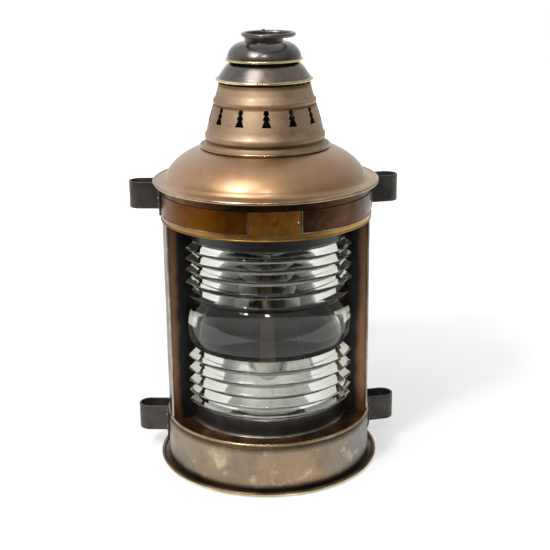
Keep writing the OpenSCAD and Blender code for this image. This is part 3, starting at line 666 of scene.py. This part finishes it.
def band_plate(side):
    """Raised plate on the band, framed by a fold at its foot and its inner end; the fold is lightened as
    worn metal and as a painted highlight.
    """
    name = "band_plate_right" if side > 0 else "band_plate_left"
    low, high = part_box(name)
    outer = 122.1 * MM
    inner = outer - 1.05 * MM
    fold_z = low.z + 1.1 * MM
    fold_azimuth = PLATE_NEAR + 0.55

    def azimuths(start, end):
        values = [side * a for a in spread(start, end, 1.5)]
        return values if side > 0 else values[::-1]

    bm = bmesh.new()
    curved_sheet(bm, inner, outer, azimuths(PLATE_NEAR, PLATE_FAR), spread(low.z, high.z, 5 * MM))
    proud = outer + 0.5 * MM
    curved_sheet(bm, inner, proud, azimuths(PLATE_NEAR, PLATE_FAR), [low.z, fold_z])
    curved_sheet(bm, inner, proud, azimuths(PLATE_NEAR, fold_azimuth), spread(low.z, high.z, 5 * MM))
    dent(bm)

    def folded(c):
        return c.z < fold_z or aside(c) < fold_azimuth

    # The right plate takes the painted-shade copy, the left the lit copy.
    skin = plate_shade_brown if side > 0 else plate_lit_orange
    piece = make_piece(f"{name}_sheet", bm, "casing", [name], [skin, fold_wear_and_highlight],
                       paint=[(1, folded)])
    bevel(piece, 0.3 * MM)


# ---- Lens ----


RIB_OFFSETS = (37.3, 52.6, 67.0, 80.1, 91.8)


def lens_outline(height, tip_r, inner_r):
    """The dioptric section: a bulged belt between prism ribs, in millimetres from the middle."""
    belt_half, bulge, tip = 29.0, 8.5, 1.5
    valley = tip_r - 9.0
    belt_r = (belt_half**2 + bulge**2) / (2 * bulge)
    sweep = math.degrees(math.asin(belt_half / belt_r))
    crown = valley - 0.5 + bulge
    half = arc((crown - belt_r, 0), (belt_r, belt_r), 0, sweep, 18)
    for i, offset in enumerate(RIB_OFFSETS):
        half += arc((tip_r - tip, offset), (tip, tip), -55, 55, 6)
        last = i + 1 == len(RIB_OFFSETS)
        half.append((valley, height / 2 - 2.5 if last else (offset + RIB_OFFSETS[i + 1]) / 2))
    half.append((valley, height / 2))
    below = [(r, -z) for r, z in reversed(half)]
    return below + half[1:] + [(inner_r, height / 2), (inner_r, -height / 2)]


def lens():
    """The pressed glass, turned through 135 degrees."""
    low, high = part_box("lens")
    height = (high.z - low.z) / MM
    tip = -low.y / MM
    middle = (high.z + low.z) / 2
    outline = [(r * MM, middle + z * MM) for r, z in lens_outline(height, tip, tip - 14)]
    bm = bmesh.new()
    spin(bm, outline, -LENS_HALF, LENS_HALF, step=1.5)
    make_piece("lens_glass_body", bm, "casing", ["lens"], [glass], crease=24)


def lens_collar():
    """Black ring under the glass with a bright thin foot."""
    low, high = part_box("lens_collar")
    inner = COLLAR_INNER_R
    wall = 5 * MM
    foot = 3 * MM
    half = OPENING_HALF + 0.4
    foot_z = low.z + 1.2 * MM
    bm = bmesh.new()
    outline = [(inner, low.z), (inner + wall + foot, low.z), (inner + wall + foot, foot_z),
               (inner + wall, foot_z), (inner + wall, high.z), (inner, high.z)]
    spin(bm, outline, -half, half)
    coats = [enamel, edge_metal]
    piece = make_piece("lens_collar_ring", bm, "casing", ["lens_collar"], coats,
                       paint=[(1, lambda c: c.z < foot_z + 0.01 * MM)])
    bevel(piece, 0.4 * MM)


# ---- Guide loops ----


def loop_path(seat):
    """Stations along the strap's middle as (x, y, lower edge): flange, bend, leg, U, and the same back."""
    inner, strap, reach, drop = 11.5, 2.2, 15.0, 7.0
    axis_x, bend = 144.8, 2.5
    leg_y = inner + strap / 2
    wall = seat + strap / 2
    tip_y = inner + strap + reach
    start_y = leg_y + bend
    half = []
    for y in spread(-tip_y, -start_y, 0.9):
        lift = max(0.0, (abs(y) - (inner + 7)) / (tip_y - inner - 7))
        half.append((math.sqrt(wall**2 - y**2), -y, -drop + (drop + 5) * lift))
    wall_x = half[-1][0]
    for x, y in arc((wall_x + bend, start_y), (bend, bend), 180, 270, 6)[1:]:
        half.append((x, y, -drop * (y - leg_y) / bend))
    for x in spread(wall_x + bend, axis_x, 2)[1:]:
        half.append((x, leg_y, 0.0))
    bow = [(x, y, 0.0) for x, y in arc((axis_x, 0), (leg_y, leg_y), 90, -90, 28)[1:-1]]
    back = [(x, -y, z) for x, y, z in reversed(half)]
    return half + bow + back


def guide_loop(name, side):
    """A riveted U of strap around a vertical guide rod, standing a little behind the lantern's side."""
    low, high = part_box(name)
    base = low.z + 7 * MM
    top = high.z
    seat = (121.1 if "upper" in name else 121.4) + 0.05
    rows = 9
    bm = bmesh.new()
    grid = []
    turn = Matrix.Rotation(math.radians(LOOP_TURN), 2)
    for x, y, lower in loop_path(seat):
        x, y = turn @ Vector((x, y))
        foot = base + lower * MM
        column = []
        for i in range(rows):
            z = foot + (top - foot) * i / (rows - 1)
            column.append(bm.verts.new((side * x * MM, y * MM, z)))
        grid.append(column)
    for a, b in zip(grid, grid[1:]):
        for j in range(rows - 1):
            bm.faces.new((a[j], b[j], b[j + 1], a[j + 1]))
    piece = make_piece(f"{name}_strap", bm, "casing", [name], [iron])
    solid = piece.modifiers.new("strap", "SOLIDIFY")
    solid.thickness = 2.2 * MM
    solid.offset = 0
    solid.use_even_offset = True
    bevel(piece, 0.6 * MM, segments=3)


# ---- Hood and chimney ----


def hood():
    """Domed hood with a flat flange, a rolled rim and a skirt inside the casing."""
    low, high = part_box("hood")
    rim_r = high.x
    bead = 1.9 * MM
    rim_z = low.z + 12 * MM
    foot_r, crown_r, lip_r = 115 * MM, 56 * MM, 54 * MM
    foot_z = rim_z + 2.8 * MM
    rise = high.z - foot_z
    flange = [(rim_r - bead, rim_z + 1 * MM), (rim_r - 6 * MM, rim_z + 1.7 * MM)]
    fillet = [(foot_r + 3.6 * MM, foot_z - 0.3 * MM), (foot_r + 1.2 * MM, foot_z + 0.8 * MM)]
    dome = []
    for angle in spread(math.radians(7), math.pi / 2, 0.05):
        droop_r, droop_z = max(0.0, math.cos(angle)) ** 1.2, math.sin(angle) ** 1.2
        dome.append((crown_r + (foot_r - crown_r) * droop_r, foot_z + rise * droop_z))
    outer = smooth_path(flange + fillet + dome[:1], 3)[:-1] + dome + [(lip_r, high.z)]
    bm = bmesh.new()
    spin(bm, shell(outer, 1 * MM), step=1.5)
    spin(bm, arc((rim_r - bead, rim_z), (bead, bead), 0, 345, 23), step=1.5)
    skirt = 118.8 * MM
    skirt_top = foot_z - 1 * MM
    spin(bm, [(skirt - 1 * MM, low.z), (skirt, low.z), (skirt, skirt_top), (skirt - 1 * MM, skirt_top)])
    dent(bm)
    rim = rim_r - 2 * bead
    make_piece("hood_dome", bm, "casing", ["hood"], [hood_copper, rim_copper],
               paint=[(1, lambda c: c.xy.length > rim + 0.8 * MM)], crease=50)


def chimney_outline(foot_z, top_z, foot_r):
    """Outer face of the chimney in metres, from its flared foot up through two swaged beads."""
    bead = 1.5
    points = [(foot_r / MM - bead, 1.4), (71.2, 2.2), (68.9, 3.8), (67.2, 6.2)]
    points += arc((67.2, 12.8), (1.2, 3.8), -60, 60, 8)
    points += [(66.1, 18.2), (65.2, 23.2), (63.8, 28.6), (62.3, 34.4), (60.9, 39.2), (58.1, 48.2)]
    points += arc((57.2, 51.8), (1.0, 2.8), -60, 60, 8)
    points += [(55.9, 55.8), (53.7, 62.6)]
    path = [(r * MM, foot_z + z * MM) for r, z in points]
    return path + [(51.6 * MM, top_z)]


def tree_prism(bm, azimuth, inner_r, outer_r, foot_z):
    """A cutter in the shape of a small tree: splayed foot, two tiers and a round top."""
    profile = [(5.2, 0), (4.9, 1.4), (3.6, 5.0), (2.3, 7.2), (3.9, 7.9), (3.8, 9.3), (2.8, 11.4),
               (1.6, 12.6), (2.8, 13.3), (3.1, 14.8), (2.7, 16.6), (1.6, 18.0), (0, 18.5)]
    right = [(x * MM, z * MM) for x, z in profile]
    outline = right + [(-x, z) for x, z in reversed(right[:-1])]
    radial = Vector((*polar(1, azimuth), 0))
    across = Vector((-radial.y, radial.x, 0))
    rings = []
    for radius in (inner_r, outer_r):
        ring = [bm.verts.new(radial * radius + across * x + Vector((0, 0, foot_z + z))) for x, z in outline]
        rings.append(ring)
    count = len(outline)
    for i in range(count):
        k = (i + 1) % count
        bm.faces.new((rings[0][i], rings[0][k], rings[1][k], rings[1][i]))
    bm.faces.new(rings[0][::-1])
    bm.faces.new(rings[1])


def pierce(piece, cutter_bm):
    """Cuts the cutters out of a piece's mesh and throws them away."""
    bmesh.ops.recalc_face_normals(cutter_bm, faces=cutter_bm.faces)
    mesh = bpy.data.meshes.new("cutters")
    cutter_bm.to_mesh(mesh)
    cutter_bm.free()
    cutter = bpy.data.objects.new("cutters", mesh)
    bpy.context.scene.collection.objects.link(cutter)
    modifier = piece.modifiers.new("pierced", "BOOLEAN")
    modifier.operation = "DIFFERENCE"
    modifier.solver = "EXACT"
    modifier.object = cutter
    bpy.context.view_layer.update()
    evaluated = piece.evaluated_get(bpy.context.evaluated_depsgraph_get())
    cut = bpy.data.meshes.new_from_object(evaluated)
    piece.modifiers.remove(modifier)
    piece.data = cut
    bpy.data.objects.remove(cutter)
    cut.set_sharp_from_angle(angle=math.radians(40))


def chimney():
    """Swaged copper cone with a row of pierced trees."""
    low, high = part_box("chimney")
    path = chimney_outline(low.z, high.z, high.x)
    bm = bmesh.new()
    spin(bm, shell(path, 1 * MM), step=2.5)
    dent(bm)
    piece = make_piece("chimney_cone", bm, "casing", ["chimney"], [chimney_copper], crease=40)
    trees = 13
    cutters = bmesh.new()
    for i in range(trees):
        tree_prism(cutters, i * 360 / trees - 3, 51.8 * MM, high.x, low.z + 29.7 * MM)
    pierce(piece, cutters)
    bead = 1.5 * MM
    rim = bmesh.new()
    spin(rim, arc((high.x - bead, low.z + bead), (bead, bead), 0, 340, 17))
    make_piece("chimney_foot_bead", rim, "casing", [], [rim_copper])


def cowl(node, bead, path):
    """A dark dome over a brass bead."""
    low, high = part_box(node)
    bm = bmesh.new()
    spin(bm, shell(path, 1 * MM), step=2)
    spin(bm, arc((high.x - bead, low.z + bead), (bead, bead), 0, 340, 17), step=2)
    rim = low.z + 2 * bead + 0.1 * MM
    inner = high.x - 2.2 * bead
    make_piece(f"{node}_dome", bm, "casing", [node], [dark_bronze, rim_brass],
               paint=[(1, lambda c: c.z < rim and c.xy.length > inner)], crease=45)


def cowl_lower():
    """Lower cowl: a steep flank under a flat shoulder."""
    low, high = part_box("cowl_lower")
    bead = 1.5 * MM
    rim = low.z + bead
    flank = [(52, 2), (50.6, 4.2), (46.9, 9.6), (43.4, 14.4), (40, 17.4), (35, 19.8)]
    start = [(high.x - bead, rim + 0.8 * MM)]
    cowl("cowl_lower", bead, smooth_path(start + [(r * MM, rim + z * MM) for r, z in flank], 4))


def cowl_upper():
    """Upper cowl: a round dome up to the neck."""
    low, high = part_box("cowl_upper")
    bead = 1.5 * MM
    rim = low.z + bead
    dome = arc((21 * MM, rim + 1.2 * MM), (20.4 * MM, 18.2 * MM), 0, 90, 24)
    path = [(high.x - bead, rim + 0.6 * MM)] + dome + [(17 * MM, rim + 19.4 * MM)]
    cowl("cowl_upper", bead, path)


def neck():
    """Short capped collar under the lifting ring."""
    low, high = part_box("neck")
    r, soft, wall = high.x, 1.5 * MM, 1 * MM
    corner = arc((r - soft, high.z - soft), (soft, soft), 0, 90, 6)
    outline = [(r - wall, low.z), (r, low.z)] + corner + [(0, high.z), (0, high.z - wall)]
    outline += [(r - soft - 0.5 * MM, high.z - wall), (r - wall, high.z - soft - 0.5 * MM)]
    bm = bmesh.new()
    spin(bm, outline)
    make_piece("neck_cap", bm, "casing", ["neck"], [dark_bronze])


def lifting_ring():
    """Loose round ring, lying forward over the cowls."""
    low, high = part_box("lifting_ring")
    centre = ((low.x + high.x) / 2, (low.y + high.y) / 2)
    wire = (high.z - low.z) / 2
    middle = (high.x - low.x) / 2 - wire
    bm = bmesh.new()
    spin(bm, arc((middle, (low.z + high.z) / 2), (wire, wire), 0, 345, 23), step=2.5, centre=centre)
    make_piece("lifting_ring_wire", bm, "lifting_ring", ["lifting_ring"], [dark_bronze])


def door():
    """Curved rear door sheet."""
    low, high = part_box("door")
    outer, inner = 121.3 * MM, 120.3 * MM
    bm = bmesh.new()
    curved_sheet(bm, inner, outer, spread(152, 208, 2), spread(low.z, high.z, 12 * MM))
    dent(bm)
    piece = make_piece("door_sheet", bm, "door", ["door"], [casing_metal])
    bevel(piece, 0.3 * MM)


CAD_FINISH = {
    "base_plate": groove_metal, "tray_floor": tray_metal, "edge_bead_left": edge_metal,
    "edge_bead_right": edge_metal, "screen_left": screen_left_metal, "screen_right": screen_right_metal,
    "top_shield": sooted, "lens_top_ring": enamel, "lens_post_left": enamel, "lens_post_right": enamel,
    "band_rivets": steel, "loop_rivets": iron, "inner_flue": enamel, "cowl_stays": dark_bronze,
    "ring_eye": dark_bronze, "door_lining": sooted, "door_hinge_leaves": old_brass,
    "casing_hinge_leaves": old_brass, "hinge_pins": steel, "door_knob": old_brass, "door_catch": old_brass,
    "catch_screw": steel, "lamp_seat": tinned, "lamp_fount": fount_tin, "lamp_handle": lamp_brass,
    "filler_cap": lamp_brass, "burner": lamp_brass, "wick_tube": lamp_brass, "wick": cotton,
    "wick_spindle": steel, "wick_knob": lamp_brass,
}


def finish_cad_nodes():
    """Gives each carried-over CAD node its material."""
    for name, material in CAD_FINISH.items():
        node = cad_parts[name]
        node.data.materials.clear()
        node.data.materials.append(material)


# ---- Stage ----


def floor():
    """Pale sweep that ends a little way in front of the lantern, as a table does."""
    front, back, half = -0.62, 3.5, 3.0
    bm = bmesh.new()
    corners = [(-half, front), (half, front), (half, back), (-half, back)]
    bm.faces.new([bm.verts.new((x, y, 0)) for x, y in corners])
    mesh = bpy.data.meshes.new("floor")
    bm.to_mesh(mesh)
    bm.free()
    material, tree, bsdf = blank("floor_paper")
    bsdf.inputs["Base Color"].default_value = (0.5, 0.5, 0.5, 1)
    bsdf.inputs["Roughness"].default_value = 1.0
    bsdf.inputs["Specular IOR Level"].default_value = 0.0
    bsdf.inputs["Emission Color"].default_value = (1, 1, 0.99, 1)
    glow = remap(tree, radius_of(tree), 0.45, 1.6, 0.44, 0.95)
    tree.links.new(glow, bsdf.inputs["Emission Strength"])
    mesh.materials.append(material)
    sheet = bpy.data.objects.new("floor", mesh)
    bpy.context.scene.collection.objects.link(sheet)


def world_light():
    """White to the camera; in reflections bright behind and above, dim in front and to the right."""
    world = bpy.data.worlds.new("studio")
    bpy.context.scene.world = world
    world.use_nodes = True
    tree = world.node_tree
    direction = add(tree, "TexCoord").outputs["Generated"]
    split = add(tree, "SeparateXYZ", {"Vector": direction})
    front = ramp(tree, remap(tree, split.outputs["Z"], -1, 1),
                 [(0.47, 0.05), (0.5, 0.16), (0.62, 0.45), (0.8, 0.62), (1.0, 0.75)])
    behind = remap(tree, split.outputs["Y"], -0.35, 0.35)
    colour = mix(tree, behind, front, (0.95, 0.95, 0.95))
    dim_side = remap(tree, split.outputs["X"], 0.1, 0.9, 0.0, 0.5)
    colour = mix(tree, dim_side, colour, (0.2, 0.2, 0.2))
    seen = add(tree, "LightPath").outputs["Is Camera Ray"]
    colour = mix(tree, seen, colour, (1.0, 1.0, 1.0))
    background = tree.nodes["Background"]
    tree.links.new(colour, background.inputs["Color"])


def area_light(name, place, target, size, power):
    """A soft square lamp aimed at a point."""
    data = bpy.data.lights.new(name, "AREA")
    data.size = size
    data.energy = power
    lamp = bpy.data.objects.new(name, data)
    lamp.location = place
    lamp.rotation_euler = (Vector(target) - Vector(place)).to_track_quat("-Z", "Y").to_euler()
    bpy.context.scene.collection.objects.link(lamp)


def lights():
    """A key from the left, a smaller lamp near the camera and a broad soft one above the left side."""
    middle = (0, 0, 0.3)
    area_light("key", (-1.2, -1.4, 1.9), middle, 0.36, 33)
    area_light("second", (-0.19, -2.2, 2.05), middle, 0.2, 12)
    area_light("broad", (-0.77, -0.77, 1.98), middle, 0.9, 13)


def camera():
    """Looks down a little at the lantern, from slightly to its left."""
    azimuth, pitch, roll = (math.radians(a) for a in (-4.85, 17.09, -0.56))
    side, distance, height = 0.0097, 1.2636, 0.6112
    data = bpy.data.cameras.new("camera")
    data.lens = 73.3
    data.sensor_width = 36
    lens_view = bpy.data.objects.new("camera", data)
    turn = Matrix.Rotation(azimuth, 4, "Z")
    tilt = Matrix.Rotation(math.pi / 2 - pitch, 4, "X") @ Matrix.Rotation(roll, 4, "Z")
    place = turn @ Vector((side, -distance, height))
    lens_view.matrix_world = Matrix.Translation(place) @ turn @ tilt
    bpy.context.scene.collection.objects.link(lens_view)
    bpy.context.scene.camera = lens_view


foot_ring()
base_drum()
casing_shell()
top_band()
for plate_side in (-1, 1):
    band_plate(plate_side)
lens()
lens_collar()
for level in ("upper", "lower"):
    guide_loop(f"guide_loop_{level}_left", -1)
    guide_loop(f"guide_loop_{level}_right", 1)
hood()
chimney()
cowl_lower()
cowl_upper()
neck()
lifting_ring()
door()
finish_cad_nodes()
floor()
world_light()
lights()
camera()
bpy.context.scene.view_settings.view_transform = "Standard"
